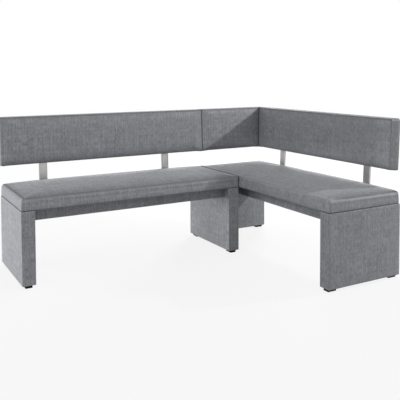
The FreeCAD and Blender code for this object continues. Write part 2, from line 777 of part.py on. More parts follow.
def make_bench():
    long_unit = Unit("long", -s.long_length, ZERO)
    short_unit = Unit("short", ZERO, s.seat_depth, turned=True)
    corner = Unit("corner", ZERO, ZERO)

    # The two units are joined by angles from the long unit's right leg to the underside of the short seat
    across = (s.angle_inset, s.seat_depth - s.angle_inset)
    joins = pool([make_angle(f"joining_angle_{number}", "+x", ZERO, y)
                  for number, y in enumerate(across)])
    corner.node("joining_brackets", joins["angles"])
    corner.node("joining_screws", joins["screws"])
    leg_holes = [hole(f"joining_leg_hole_{number}", "screw", *angle_points("+x", s.long_length, y)[::2])
                 for number, y in enumerate(across)]
    seat_holes = [hole(f"joining_seat_hole_{number}", "screw",
                       angle_points("+y", s.seat_depth - y, ZERO)[1], "+z")
                  for number, y in enumerate(across)]

    long_steel, long_foot_screws, long_spacers = make_seat_unit(
        long_unit, s.long_length, s.long_upright_inset, leg_holes, [])
    short_steel, short_foot_screws, short_spacers = make_seat_unit(
        short_unit, s.short_length, s.short_upright_inset, [], seat_holes)

    inset = s.back_board_inset
    half_gap = s.back_seam_gap / 2
    long_end = s.long_length + s.back_seam_offset - half_gap
    make_back(long_unit, ZERO, long_end, inset, long_end - inset, long_steel["channel"],
              long_steel["back_holes"], [], [])

    beyond = REAR_REACH + s.overrun
    arm_start = BACK_FRONT + BOARD_REAR - s.corner_arm_length
    screw_place = BACK_FRONT + BOARD_REAR - s.corner_arm_length * CORNER_SCREW_SHARE
    near = BACK_FRONT - s.overrun
    short_mitre = [mitre_tool("short_mitre", s.seat_depth - near, near, 135)]
    short_arm, short_arm_screws, holes, room = make_corner_arm(
        short_unit, s.seat_depth - beyond, s.seat_depth - arm_start, s.seat_depth - screw_place, short_mitre)
    short_end = s.short_length - s.short_back_setback
    make_back(short_unit, s.seat_depth - beyond, short_end, s.seat_depth - beyond, short_end - inset,
              short_steel["channel"], short_steel["back_holes"] + holes, short_mitre, room)

    corner_mitre = [mitre_tool("corner_mitre", beyond, beyond, 225)]
    corner_arm, corner_arm_screws, holes, room = make_corner_arm(
        corner, arm_start, beyond, screw_place, corner_mitre)
    corner_start = s.back_seam_offset + half_gap
    make_back(corner, corner_start, beyond, corner_start + inset, beyond, [], holes, corner_mitre, room)

    plate_of_corner = doc.addObject("Part::Fuse", "corner_plate")
    plate_of_corner.Base = corner_arm
    plate_of_corner.Tool = short_arm
    NODES.append(plate_of_corner)
    NODES.append(gather("corner_plate_screws", [corner_arm_screws, short_arm_screws]))
    NODES.append(gather("foot_screws", [long_foot_screws, short_foot_screws]))
    NODES.append(gather("upright_spacers", [long_spacers, short_spacers]))


def export_nodes():
    """Writes each piece, once every object has been built and every shape is sound."""
    doc.recompute()
    failed = [item.Label for item in doc.Objects if {"Invalid", "Error"} & set(item.State)]
    if failed:
        raise RuntimeError("objects that failed: " + ", ".join(failed))
    os.makedirs("parts", exist_ok=True)
    for item in NODES:
        shape = item.Shape
        if shape.isNull() or not shape.isValid() or not shape.Solids:
            raise RuntimeError("a piece without a sound solid: " + item.Label)
    for item in NODES:
        item.Shape.exportStep(f"parts/{item.Label}.step")
        print(item.Label, len(item.Shape.Solids), round(item.Shape.Volume))


make_bench()
export_nodes()
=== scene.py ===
"""Corner bench: upholstery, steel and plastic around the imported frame, with its stage.

Metres, in the frame's own axes: +X along the long unit towards the corner, +Y towards its back, +Z up.
"""
import json
import math

import bpy
import numpy as np
from bpy.props import FloatProperty, FloatVectorProperty, IntProperty, PointerProperty
from mathutils import Euler, Matrix, Vector, noise
from mathutils.kdtree import KDTree


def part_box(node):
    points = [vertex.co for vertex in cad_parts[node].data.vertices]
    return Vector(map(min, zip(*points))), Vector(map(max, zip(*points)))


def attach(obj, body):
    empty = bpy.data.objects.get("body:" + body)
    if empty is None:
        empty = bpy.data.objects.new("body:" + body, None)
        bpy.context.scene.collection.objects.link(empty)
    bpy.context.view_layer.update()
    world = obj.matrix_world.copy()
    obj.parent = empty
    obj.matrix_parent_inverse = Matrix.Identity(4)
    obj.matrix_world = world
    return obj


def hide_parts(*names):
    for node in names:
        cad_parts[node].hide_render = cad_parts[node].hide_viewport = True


bl_info = {
    "name": "Corner bench",
    "version": (1, 0, 0),
    "blender": (4, 5, 0),
    "location": "View3D > Sidebar > Bench",
    "description": "Upholsters a corner bench and sets its stage",
    "category": "Object",
}

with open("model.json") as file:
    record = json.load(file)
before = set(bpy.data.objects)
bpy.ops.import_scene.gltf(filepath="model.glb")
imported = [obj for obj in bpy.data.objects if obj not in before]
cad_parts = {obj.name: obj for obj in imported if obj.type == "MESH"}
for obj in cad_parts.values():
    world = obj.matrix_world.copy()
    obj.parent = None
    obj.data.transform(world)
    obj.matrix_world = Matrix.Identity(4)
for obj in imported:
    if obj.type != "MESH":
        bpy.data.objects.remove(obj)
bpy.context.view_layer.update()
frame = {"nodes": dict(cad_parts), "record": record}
BODY = "root"

# The seats' boxes give each unit its own frame: x along the seat, y from its front to its back, z up
LONG_LOW, LONG_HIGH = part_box("long_seat_cover")
SHORT_LOW, SHORT_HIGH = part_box("short_seat_cover")
LONG_FRAME = Matrix.Translation(LONG_LOW)
SHORT_START = Vector((SHORT_LOW.x, SHORT_HIGH.y, SHORT_LOW.z))
SHORT_FRAME = Matrix.Translation(SHORT_START) @ Matrix.Rotation(-math.pi / 2, 4, "Z")
# Both units have the same depth
DEPTH = LONG_HIGH.y - LONG_LOW.y

# How near to a plane a point counts as in it, and what stands for zero in a division
SNAP = 1e-6
TINY = 1e-9


def length(name, description, default):
    return FloatProperty(name=name, description=description, default=default, unit="LENGTH", precision=4)


def share(name, description, default):
    return FloatProperty(name=name, description=description, default=default, min=0, max=1)


def angle(name, description, degrees):
    return FloatProperty(name=name, description=description, default=math.radians(degrees), subtype="ANGLE")


def power(name, description, default):
    return FloatProperty(name=name, description=description, default=default, min=0)


def colour(name, description, default):
    return FloatVectorProperty(name=name, description=description, default=default, subtype="COLOR",
                               min=0, max=1)


class BenchSeats(bpy.types.PropertyGroup):
    """Sizes of the seat cushions."""
    thickness: length("Thickness", "Height of the boxing between its two edges", 0.074)
    corner_radius: length("Corner radius", "Radius of the upright corners", 0.014)
    roll: length("Edge roll", "Radius of the rounded top edge", 0.016)
    joint_roll: length("Joint roll", "Radius of the edges and corners where the two seats meet", 0.006)
    base_roll: length("Base roll", "Radius of the edge over the legs", 0.006)
    seam_inset: length("Seam inset", "Distance of the sewn seam from the side", 0.021)
    seam_depth: length("Seam depth", "Depth of the seam under the crest of the edge", 0.0045)
    seam_reach: length("Seam reach", "How far outside the seam the edge is drawn down", 0.0045)
    rise_reach: length("Rise reach", "How fast the filling rises inside the seam", 0.024)
    crest_drop: length("Crest drop", "Depth of the edge's crest under the seat's nominal top", 0.008)
    crown: length("Crown", "Rise of the middle over the nominal top", 0.0085)
    rear_swell: share("Rear swell", "Share of that rise that is left at the rear edge", 0.6)
    puff: length("Puff", "Bulge of the boxing", 0.0018)
    pull: length("Pull", "How far the sides draw in between the corners", 0.0012)
    crease_reach: length("Crease reach", "How far outside the seam its shade reaches", 0.016)
    ease: length("Ease", "How far round a loose corner the seam is let out", 0.10)
    fold: length("Fold", "Width of the cover's turned-in edge under the seat", 0.110)
    recess: length("Recess", "Depth of the room inside that edge", 0.0026)


class BenchBacks(bpy.types.PropertyGroup):
    """Sizes of the backrests."""
    gap: length("Gap", "Height of the back's lower edge over the seat", 0.101)
    height: length("Height", "Height along the slope", 0.302)
    thickness: length("Thickness", "Depth from the front to the rear face", 0.076)
    overhang: length("Overhang", "How far the front stands before the seat's rear edge", 0.011)
    lean: angle("Lean", "Backward lean", 2.5)
    roll: length("Edge roll", "Radius between the front face and the sides", 0.007)
    shade_reach: length("Shade reach", "How far the seams' shade reaches over the edges", 0.009)
    under_reach: length("Under reach", "How far the lower edge is in its own shade", 0.020)
    rear_roll: length("Rear roll", "Radius between the rear face and the sides", 0.006)
    joint_roll: length("Joint roll", "Radius of the edges where two backs meet", 0.005)
    corner_radius: length("Corner radius", "Radius of the free corners of the front face", 0.017)
    tight_radius: length("Tight radius", "Radius of the other corners of the front face", 0.007)
    crown: length("Crown", "Rise of the front face's middle over its edge", 0.003)
    seam_offset: length("Seam offset", "Place of the joint past the long seat's end", 0.024)
    seam_gap: length("Seam gap", "Opening between the long back and the corner", 0.0006)
    setback: length("Setback", "Distance of the short back's end from the seat's end", 0.072)


class BenchPanels(bpy.types.PropertyGroup):
    """Sizes of the covered panel legs and aprons."""
    corner_radius: length("Corner radius", "Radius of a leg's upright edges", 0.004)
    rim: length("Rim", "Radius of the edges at the top and the bottom", 0.003)
    margin: length("Margin", "Distance of the first cuts from a panel's edges", 0.007)
    inner_shade: length("Inner shade", "How far the inner corner's shade reaches along the apron", 0.11)
    hem: length("Hem", "Width of the cover's turned-in edge under a leg", 0.012)
    cloth: length("Cloth", "Thickness of the fabric", 0.0008)
    lap: length("Lap", "How far the cloth stands up into the seat's underside", 0.0004)
    slack: length("Slack", "Depth of the slight waves in the stretched cloth", 0.0009)
    wave: length("Wave", "Distance between those waves", 0.14)


class BenchFilling(bpy.types.PropertyGroup):
    """How the filling blows up the sewn covers."""
    cell: length("Cell", "Cell size of the cloth that is blown up", 0.010)
    pressure: power("Pressure", "Pressure of the filling", 4.0)
    stiffness: power("Stiffness", "Stiffness of the cover against stretching", 25.0)
    most: length("Most", "Most that the filling may move the cover", 0.004)
    frames: IntProperty(name="Frames", description="Steps of the simulation", default=20, min=2)


class BenchFinish(bpy.types.PropertyGroup):
    """Colours and grain of the materials."""
    light_yarn: colour("Light yarn", "Lighter yarn of the melange cloth", (0.355, 0.362, 0.389))
    dark_yarn: colour("Dark yarn", "Darker yarn of the melange cloth", (0.070, 0.072, 0.080))
    thread: length("Thread", "Distance from yarn to yarn", 0.0013)
    steel: colour("Steel", "Brushed steel", (0.455, 0.452, 0.44))
    zinc: colour("Zinc", "Zinc-plated steel", (0.56, 0.57, 0.58))
    plastic: colour("Plastic", "Plastic of the feet", (0.008, 0.008, 0.009))
    lining: colour("Lining", "Dust cloth under the seats", (0.022, 0.022, 0.024))
    timber: colour("Timber", "Panels and frames", (0.50, 0.36, 0.23))


class BenchStage(bpy.types.PropertyGroup):
    """Floor, lights and camera."""
    floor: colour("Floor", "Pale floor", (0.50, 0.50, 0.50))
    floor_width: length("Floor width", "Width of the floor", 60)
    floor_white: share("Floor white", "Share of white in the floor that the camera and gloss see", 0.86)
    floor_near: length("Floor near", "Distance where the floor starts to fade to white", 1.6)
    floor_far: length("Floor far", "Distance where it is all white", 6.0)
    ambient: power("Ambient", "Strength of the soft light from all round", 0.657)
    key: power("Key", "Power of the key light on the right", 112)
    fill: power("Fill", "Power of the soft light high on the left", 48)
    side: power("Side", "Power of the low light behind the left end", 515)
    back: power("Back", "Power of the soft light behind the corner", 480)
    eye: FloatVectorProperty(name="Eye", description="Place of the camera", subtype="XYZ", unit="LENGTH",
                             default=(-1.7572, -3.1622, 1.1757))
    heading: angle("Heading", "Turn of the camera from +Y towards +X", 29.5128)
    tilt: angle("Tilt", "Downward tilt of the camera", 2.7466)
    roll: angle("Roll", "Turn of the camera about its own axis", -0.2251)
    lens: FloatProperty(name="Lens", description="Focal length in millimetres", default=55.2605)
    shift: FloatProperty(name="Shift", description="Vertical shift of the lens", default=-0.25)


# Cuts from each end of a padded box, close together where its edges turn and its seam runs
EDGE_CUTS = (0.002, 0.004, 0.006, 0.008, 0.010, 0.012, 0.014, 0.016, 0.0175, 0.019, 0.020, 0.021, 0.022,
             0.023, 0.0245, 0.027, 0.031, 0.036, 0.043, 0.052, 0.064, 0.078, 0.094)
# Distance between the even cuts of a padded box, on its faces and up its sides
FACE_PITCH = 0.014
SIDE_PITCH = 0.010


def even(start, end, pitch):
    """Places between two ends, about a pitch apart."""
    steps = max(1, round((end - start) / pitch))
    return [start + (end - start) * step / steps for step in range(1, steps)]


def cuts_between(size, marks, pitch):
    """The marks from both ends of a side, with even steps between them."""
    far = [size - mark for mark in reversed(marks)]
    return [*marks, *even(marks[-1], far[0], pitch), *far]


def pick(piece):
    """Selects one piece alone and makes it active."""
    bpy.ops.object.select_all(action="DESELECT")
    piece.select_set(True)
    bpy.context.view_layer.objects.active = piece


def start_box(name, low, high):
    """A cube added at its size and place."""
    bpy.ops.object.select_all(action="DESELECT")
    low, high = Vector(low), Vector(high)
    bpy.ops.mesh.primitive_cube_add(size=1, location=(low + high) / 2, scale=high - low)
    piece = bpy.context.object
    piece.name = name
    bpy.ops.object.transform_apply(location=True, rotation=True, scale=True)
    return piece


def slice_box(piece, cuts):
    """Cuts a box across each of its axes at the given places."""
    pick(piece)
    bpy.ops.object.mode_set(mode="EDIT")
    for axis, places in enumerate(cuts):
        normal = [float(axis == other) for other in range(3)]
        for place in places:
            bpy.ops.mesh.select_all(action="SELECT")
            bpy.ops.mesh.bisect(plane_co=[place * part for part in normal], plane_no=normal)
    bpy.ops.object.mode_set(mode="OBJECT")


def points_of(piece):
    points = np.empty(len(piece.data.vertices) * 3)
    piece.data.vertices.foreach_get("co", points)
    return points.reshape(-1, 3)


def set_points(piece, points):
    piece.data.vertices.foreach_set("co", points.ravel())
    piece.data.update()


def unroll(piece, plans):
    """Gives every face its cloth's own coordinates in metres.

    For faces across each of the three axes, plans holds the axes across and along the cloth's streaks.
    """
    layer = piece.data.uv_layers.active
    layer.name = "cloth"
    points = points_of(piece)
    for face in piece.data.polygons:
        dominant = max(range(3), key=lambda axis: abs(face.normal[axis]))
        first, second = plans[dominant]
        for loop in face.loop_indices:
            point = points[piece.data.loops[loop].vertex_index]
            layer.data[loop].uv = (point[first], point[second])


# The streaks run up a seat's boxing and a panel, and up the slope of a back and its ends
UPRIGHT_PLANS = ((1, 2), (0, 2), (0, 1))
BACK_PLANS = ((2, 1), (0, 2), (0, 1))


def smooth(piece, degrees):
    pick(piece)
    bpy.ops.object.shade_smooth_by_angle(angle=math.radians(degrees))


def apply_modifier(piece, kind, **settings):
    pick(piece)
    modifier = piece.modifiers.new(kind.lower(), kind)
    for key, value in settings.items():
        setattr(modifier, key, value)
    bpy.ops.object.modifier_apply(modifier=modifier.name)


def finish_piece(piece, material, slot, *nodes):
    """Material, replaced nodes and body of a piece that is done. Its slot is not used."""
    piece.data.materials.clear()
    piece.data.materials.append(material)
    if nodes:
        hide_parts(*nodes)
    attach(piece, BODY)


# Materials

class Graph:
    """Adds nodes to a tree and wires them."""

    def __init__(self, tree):
        self.tree = tree

    def node(self, kind, values=None, **options):
        node = self.tree.nodes.new(kind)
        for key, value in options.items():
            setattr(node, key, value)
        for key, value in (values or {}).items():
            self.feed(node.inputs[key], value)
        return node

    def feed(self, socket, value):
        if isinstance(value, bpy.types.NodeSocket):
            self.tree.links.new(value, socket)
        else:
            socket.default_value = value

    def maths(self, operation, first, second=0.0):
        return self.node("ShaderNodeMath", {0: first, 1: second}, operation=operation).outputs[0]

    def blend(self, factor, first, second):
        """Mixes two numbers, which are a Mix node's sockets 2 and 3."""
        node = self.node("ShaderNodeMix", {0: factor, 2: first, 3: second}, data_type="FLOAT")
        return node.outputs[0]

    def tint(self, factor, first, second):
        """Mixes two colours, which are a Mix node's sockets 6 and 7."""
        node = self.node("ShaderNodeMix", {0: factor, 6: first, 7: second}, data_type="RGBA")
        return node.outputs[2]

    def place(self, across, along, depth=0.0):
        return self.node("ShaderNodeCombineXYZ", {0: across, 1: along, 2: depth}).outputs[0]

    def clouds(self, vector, scale, detail=2.0, roughness=0.5):
        values = {"Vector": vector, "Scale": scale, "Detail": detail, "Roughness": roughness}
        return self.node("ShaderNodeTexNoise", values).outputs["Fac"]

    def spread(self, value, low, high, new_low=0.0, new_high=1.0):
        values = {0: value, 1: low, 2: high, 3: new_low, 4: new_high}
        return self.node("ShaderNodeMapRange", values).outputs[0]


def new_group(name, inputs, outputs):
    """An empty node group with named sockets; returns its graph and the sockets that come in."""
    tree = bpy.data.node_groups.new(name, "ShaderNodeTree")
    for label, kind, default in inputs:
        socket = tree.interface.new_socket(label, in_out="INPUT", socket_type="NodeSocket" + kind)
        if default is not None:
            socket.default_value = default
    for label, kind in outputs:
        tree.interface.new_socket(label, in_out="OUTPUT", socket_type="NodeSocket" + kind)
    graph = Graph(tree)
    return graph, graph.node("NodeGroupInput").outputs


def weave_group():
    """Plain weave of melange yarn, each with a tone of its own, with streaks and bars of thicker yarn."""
    graph, given = new_group(
        "Melange weave",
        [("Vector", "Vector", None), ("Thread", "Float", 0.0013), ("Slub", "Float", 0.02),
         ("Streak width", "Float", 0.0062), ("Streak length", "Float", 0.024),
         ("Bar width", "Float", 0.009), ("Bar length", "Float", 0.22), ("Mottle", "Float", 0.05)],
        [("Tone", "Float"), ("Height", "Float")])
    split = graph.node("ShaderNodeSeparateXYZ", {0: given["Vector"]}).outputs
    across, along = split[0], split[1]

    def marks(width, height, layer, detail):
        """Noise with marks of two of the group's lengths, in a layer of its own."""
        where = graph.place(graph.maths("DIVIDE", across, given[width]),
                            graph.maths("DIVIDE", along, given[height]), layer)
        return graph.clouds(where, 1.0, detail)

    def ridges(axis):
        """A wave over the threads that lie beside each other along an axis."""
        turns = graph.maths("MULTIPLY", graph.maths("DIVIDE", axis, given["Thread"]), math.pi)
        return graph.maths("SINE", turns)

    warp = marks("Thread", "Slub", layer=0.0, detail=1.0)
    weft = marks("Slub", "Thread", layer=7.0, detail=1.0)
    crossing = graph.maths("MULTIPLY", ridges(across), ridges(along))
    overlap, yarn_low = 0.3, 0.3
    over = graph.spread(crossing, -overlap, overlap)
    yarn = graph.spread(graph.blend(over, warp, weft), yarn_low, 1 - yarn_low)
    streak = marks("Streak width", "Streak length", layer=3.0, detail=2.0)
    up_bars = marks("Bar width", "Bar length", layer=9.0, detail=1.0)
    cross_bars = marks("Bar length", "Bar width", layer=11.0, detail=1.0)
    mottle = marks("Mottle", "Mottle", layer=5.0, detail=3.0)
    # Each layer with the low end of its range and its part of the tone; the yarn has the rest
    layers = ((streak, 0.32, 0.34), (up_bars, 0.33, 0.16), (cross_bars, 0.33, 0.10), (mottle, 0.30, 0.14))
    tone = graph.maths("MULTIPLY", yarn, 1 - sum(part for _, _, part in layers))
    for layer, low, part in layers:
        tone = graph.maths("ADD", tone, graph.maths("MULTIPLY", graph.spread(layer, low, 1 - low), part))
    streak_height = 0.6
    height = graph.maths("ADD", graph.maths("ABSOLUTE", crossing),
                         graph.maths("MULTIPLY", streak, streak_height))
    graph.node("NodeGroupOutput", {"Tone": tone, "Height": height})


def grain_group():
    """Fine grain drawn out along Z, by the lengths given, with broader clouds."""
    graph, given = new_group(
        "Grain",
        [("Vector", "Vector", None), ("Across", "Float", 0.001), ("Along", "Float", 0.02),
         ("Broad", "Float", 0.1)],
        [("Fine", "Float"), ("Broad", "Float")])
    split = graph.node("ShaderNodeSeparateXYZ", {0: given["Vector"]}).outputs
    where = graph.place(graph.maths("DIVIDE", split[0], given["Across"]),
                        graph.maths("DIVIDE", split[1], given["Across"]),
                        graph.maths("DIVIDE", split[2], given["Along"]))
    fine = graph.clouds(where, 1.0, detail=3.0, roughness=0.6)
    broad = graph.clouds(given["Vector"], graph.maths("DIVIDE", 1.0, given["Broad"]), detail=3.0)
    graph.node("NodeGroupOutput", {"Fine": fine, "Broad": broad})


def new_material(name, **settings):
    """Makes a material; returns its graph and its shader, whose plain sockets take the settings."""
    material = bpy.data.materials.new(name)
    material.use_nodes = True
    graph = Graph(material.node_tree)
    shader = material.node_tree.nodes["Principled BSDF"]
    for label, value in settings.items():
        shader.inputs[label.replace("_", " ")].default_value = value
    return graph, shader


def solid(rgb):
    return (*rgb, 1.0)


def fabric_material(finish):
    graph, shader = new_material("bench fabric", Sheen_Weight=0.15, Sheen_Roughness=0.35)
    cloth = graph.node("ShaderNodeUVMap", uv_map="cloth").outputs[0]
    weave = graph.node("ShaderNodeGroup", node_tree=bpy.data.node_groups["Melange weave"])
    graph.feed(weave.inputs["Vector"], cloth)
    graph.feed(weave.inputs["Thread"], finish.thread)
    # Painted shading: above zero the attribute darkens the cloth as painted shade in seams, creases, joints
    # and under edges; below zero it lightens it as a painted highlight
    crease = graph.node("ShaderNodeAttribute", attribute_name="crease").outputs["Fac"]
    painted_highlight, deepest_painted_shade = 1.85, 0.15
    tone = graph.maths("MULTIPLY", weave.outputs["Tone"], graph.spread(crease, -1, 1, painted_highlight, deepest_painted_shade))
    dark, light = solid(finish.dark_yarn), solid(finish.light_yarn)
    graph.feed(shader.inputs["Base Color"], graph.tint(tone, dark, light))
    dark_rough, light_rough = 0.62, 0.50
    graph.feed(shader.inputs["Roughness"],
               graph.spread(weave.outputs["Tone"], 0, 1, dark_rough, light_rough))
    height = weave.outputs["Height"]
    bump = graph.node("ShaderNodeBump", {"Strength": 0.5, "Distance": 0.0005, "Height": height})
    graph.feed(shader.inputs["Normal"], bump.outputs[0])


def grained_material(name, rgb, contrast, across, along, broad, rough, bump_distance, **settings):
    """A material whose colour and roughness vary with a grain along Z of its own coordinates."""
    graph, shader = new_material(name, **settings)
    where = graph.node("ShaderNodeTexCoord").outputs["Object"]
    grain = graph.node("ShaderNodeGroup", node_tree=bpy.data.node_groups["Grain"])
    for label, value in (("Vector", where), ("Across", across), ("Along", along), ("Broad", broad)):
        graph.feed(grain.inputs[label], value)
    fine_part = 0.6
    tone = graph.maths("ADD", graph.maths("MULTIPLY", grain.outputs["Fine"], fine_part),
                       graph.maths("MULTIPLY", grain.outputs["Broad"], 1 - fine_part))
    low, high = 0.3, 0.7
    dark = solid([part * (1 - contrast) for part in rgb])
    light = solid([min(1.0, part * (1 + contrast)) for part in rgb])
    graph.feed(shader.inputs["Base Color"], graph.tint(graph.spread(tone, low, high), dark, light))
    rough_swing = 0.07
    graph.feed(shader.inputs["Roughness"],
               graph.spread(tone, low, high, rough - rough_swing, rough + rough_swing))
    bump = graph.node("ShaderNodeBump", {"Strength": 0.4, "Distance": bump_distance, "Height": tone})
    graph.feed(shader.inputs["Normal"], bump.outputs[0])


def make_materials(finish):
    weave_group()
    grain_group()
    fabric_material(finish)
    grained_material("brushed steel", finish.steel, contrast=0.14, across=0.012, along=0.0006, broad=0.09,
                     rough=0.30, bump_distance=0.00004, Metallic=1.0)
    grained_material("zinc steel", finish.zinc, contrast=0.18, across=0.003, along=0.003, broad=0.02,
                     rough=0.38, bump_distance=0.00003, Metallic=1.0)
    grained_material("foot plastic", finish.plastic, contrast=0.25, across=0.0012, along=0.0012, broad=0.03,
                     rough=0.55, bump_distance=0.00006, Specular_IOR_Level=0.04)
    grained_material("dust cloth", finish.lining, contrast=0.35, across=0.0015, along=0.0015, broad=0.04,
                     rough=0.92, bump_distance=0.0002)
    grained_material("timber panel", finish.timber, contrast=0.25, across=0.004, along=0.09, broad=0.2,
                     rough=0.62, bump_distance=0.0002)


# Padded pieces

def paint_shading(piece, shade):
    """Stores each point's painted shading for the fabric: painted shade above zero, a painted highlight
    below zero.
    """
    layer = piece.data.attributes.new("crease", "FLOAT", "POINT")
    layer.data.foreach_set("value", np.asarray(shade, dtype=np.float32))


def blow_up(piece, held):
    """Blows up a coarse copy of a piece as cloth, with its held points pinned.

    Returns the copy's points at rest and how far each moves, which is capped.
    """
    filling = bpy.context.scene.bench_filling
    cage = piece.copy()
    cage.data = piece.data.copy()
    bpy.context.scene.collection.objects.link(cage)
    apply_modifier(cage, "REMESH", mode="VOXEL", voxel_size=filling.cell)
    rest = points_of(cage)
    pinned = cage.vertex_groups.new(name="held")
    pinned.add([int(index) for index in np.flatnonzero(held(rest))], 1.0, "REPLACE")
    cloth = cage.modifiers.new("cloth", "CLOTH")
    cloth.settings.use_pressure = True
    cloth.settings.uniform_pressure_force = filling.pressure
    cloth.settings.vertex_group_mass = pinned.name
    cloth.settings.effector_weights.gravity = 0
    cloth.settings.tension_stiffness = filling.stiffness
    cloth.settings.compression_stiffness = filling.stiffness
    cloth.settings.shear_stiffness = filling.stiffness / 2
    cloth.collision_settings.use_collision = False
    cloth.point_cache.frame_end = filling.frames
    for step in range(1, filling.frames + 1):
        bpy.context.scene.frame_set(step)
    blown = cage.evaluated_get(bpy.context.evaluated_depsgraph_get())
    moved = points_of(blown) - rest
    reach = np.linalg.norm(moved, axis=1)
    moved *= (filling.most * np.tanh(reach / filling.most) / np.maximum(reach, TINY))[:, None]
    bpy.context.scene.frame_set(1)
    bpy.data.objects.remove(cage)
    return rest, moved


def inflate(piece, held):
    """How far the filling moves each point of a piece, as its neighbours on the blown-up copy move."""
    points = points_of(piece)
    carried = np.zeros_like(points)
    rest, moved = blow_up(piece, held)
    tree = KDTree(len(rest))
    for index, point in enumerate(rest):
        tree.insert(point, index)
    tree.balance()
    neighbours, softening = 6, 0.001
    for index, point in enumerate(points):
        found = tree.find_n(point, neighbours)
        weights = np.array([1 / (distance + softening) for _, _, distance in found])
        carried[index] = weights @ moved[[other for _, other, _ in found]] / weights.sum()
    return carried


# What one more in a seed adds to the place in the noise
SEED_STEP = (7.3, 3.1, 5.7)


def ripple(points, pitch, seed):
    """Smooth noise of about plus and minus one, for each point, with waves a pitch long."""
    offset = Vector([seed * part for part in SEED_STEP])
    return np.array([noise.noise(Vector(point) / pitch + offset) for point in points])


# Waves of the cloth, as pairs of their length and their height
SEAT_SIDE_WAVES = ((0.11, 0.0007), (0.035, 0.00025))
SEAT_TOP_WAVES = ((0.2, 0.0016), (0.07, 0.0005))
BACK_SIDE_WAVES = ((0.09, 0.0008), (0.03, 0.0003))
BACK_FRONT_WAVES = ((0.16, 0.0012), (0.05, 0.0004))


def waves(points, kinds, seed):
    """The sum of some kinds of waves, each with a seed one higher than the last."""
    return sum(ripple(points, pitch, seed + number) * height
               for number, (pitch, height) in enumerate(kinds))


def rounded(distance, depth, radius):
    """Turns a square edge into a quarter round, from distances to the side and to the face."""
    near = (distance < radius) & (depth < radius)
    run = np.where(depth > distance, radius + depth, radius - distance)
    turn = np.pi / 4 * run / radius
    inset = np.where(near, radius * (1 - np.sin(turn)), distance)
    drop = np.where(near, radius * (1 - np.cos(turn)), depth)
    return inset, drop


def ring_plan(points, size, radii, inset):
    """Moves points of a box in plan to new insets from its sides, with round corners.

    Radii holds the corners' radii: at low x and low y, at high x and low y, at low x and high y, and at
    high x and high y.
    """
    x, y = points[:, 0], points[:, 1]
    right, rear = x > size[0] / 2, y > size[1] / 2
    u = np.where(right, size[0] - x, x)
    v = np.where(rear, size[1] - y, y)
    near = np.minimum(u, v)
    radius = np.choose(right.astype(int) + 2 * rear.astype(int), radii)
    corner = (u < radius) & (v < radius)
    share_of = np.where(corner, (np.maximum(u, v) - near) / np.maximum(radius - near, TINY), 0)
    turn = np.pi / 4 * (1 - share_of)
    major = radius - (radius - inset) * np.cos(turn)
    minor = radius - (radius - inset) * np.sin(turn)
    by_u = u <= v
    moved_u = np.where(corner, np.where(by_u, major, minor), np.where(by_u, u + inset - near, u))
    moved_v = np.where(corner, np.where(by_u, minor, major), np.where(by_u, v, v + inset - near))
    return np.where(right, size[0] - moved_u, moved_u), np.where(rear, size[1] - moved_v, moved_v)


def from_sides(points, size):
    """Each point's distance to the nearest of a box's four sides."""
    x, y = points[:, 0], points[:, 1]
    return np.maximum(np.minimum(np.minimum(x, size[0] - x), np.minimum(y, size[1] - y)), 0)


def by_side(points, size, values):
    """Each point's value of its nearest side, left, right, front or rear, blended at the corners."""
    x, y = points[:, 0], points[:, 1]
    distances = np.stack((x, size[0] - x, y, size[1] - y))
    blur, sharpness = 0.004, 3
    weights = 1 / (np.maximum(distances, 0) + blur) ** sharpness
    return (np.array(values)[:, None] * weights).sum(axis=0) / weights.sum(axis=0)


def shade_seat(seats, near, z, drawn_down, joined, gust):
    """The painted shade of each point of a seat, by its distance to the side and its height: in and beside
    its seam, over its edge, along the joint between the seats and in the groove over the legs.
    """
    inner = near - seats.seam_inset
    top = seats.thickness - z
    # Strengths of the painted shade: in the seam, at its darkest, over the edge and along the joint between
    # the seats
    seam_depth, darkest_seam_shade, edge_shade_strength, joint_shade_strength = 1.6, 1.15, 2, 0.6
    deep = np.clip(seam_depth * drawn_down ** 1.5 * gust, 0, darkest_seam_shade)
    inside = deep * np.exp(-np.maximum(inner, 0) / seats.rise_reach)
    seam_line = deep * np.exp(-(inner / seats.seam_reach) ** 2)
    over_edge = np.exp(-(inner / seats.crease_reach) ** 2 - (top / seats.roll) ** 2)
    over_edge = over_edge * np.clip(edge_shade_strength * drawn_down * gust, 0, 1)
    seam_edge_shade = np.where(inner < 0, np.maximum(over_edge, seam_line), inside)
    meeting_line = joint_shade_strength * joined * np.exp(-(near / seats.joint_roll) ** 2)
    # Painted shade in the groove between the seat's base and the legs
    groove_shade = np.exp(-(z / seats.base_roll) ** 2)
    return np.where(z < seats.thickness / 2, groove_shade, np.maximum(seam_edge_shade, meeting_line))


